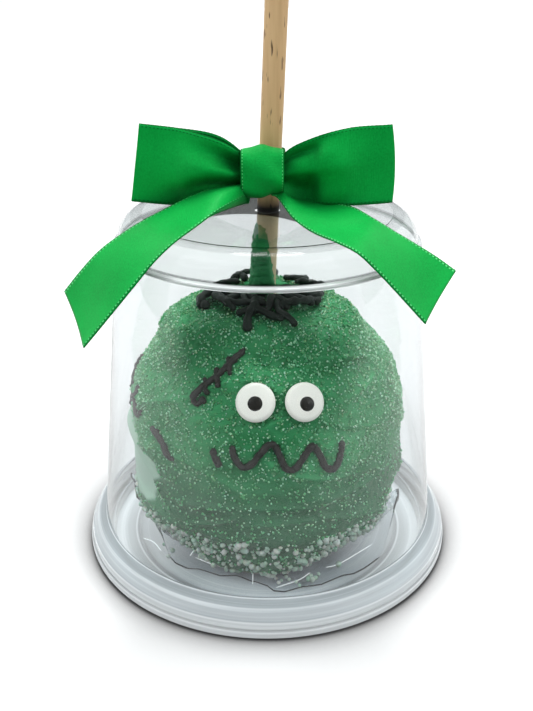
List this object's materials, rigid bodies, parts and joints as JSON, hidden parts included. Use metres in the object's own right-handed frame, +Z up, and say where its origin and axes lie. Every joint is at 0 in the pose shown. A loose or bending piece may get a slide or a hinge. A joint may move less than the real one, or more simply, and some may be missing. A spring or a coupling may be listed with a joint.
{
  "type": "caramel apple in a clear dome pack",
  "caption": "Candy-coated apple on a wooden stick with candy eyes, piped icing and sugar pearls, standing on film in a clear dome and base, with a ribbon bow tied round the stick",
  "frame": {"origin": "centre of the base's flat underside", "axes": "+Z up along the dome's axis, -Y towards the front, where the eyes and the bow face, +X to the right"},
  "size_m": [0.1174, 0.1174, 0.186],
  "materials": {
    "clear_plastic": "clear polished plastic",
    "clear_film": "clear crinkled film",
    "sugar_coating": "green candy coating with sugar grains",
    "candy": "hard white candy",
    "birch": "plain sanded dowel",
    "satin_ribbon": "satin weave"
  },
  "bodies": {
    "root": {"base": "clear_plastic", "dome": "clear_plastic", "film": "clear_film", "apple": "sugar_coating", "eye_left": "candy", "eye_right": "candy", "stick": "birch", "bow": "satin_ribbon"}
  },
  "joints": []
}
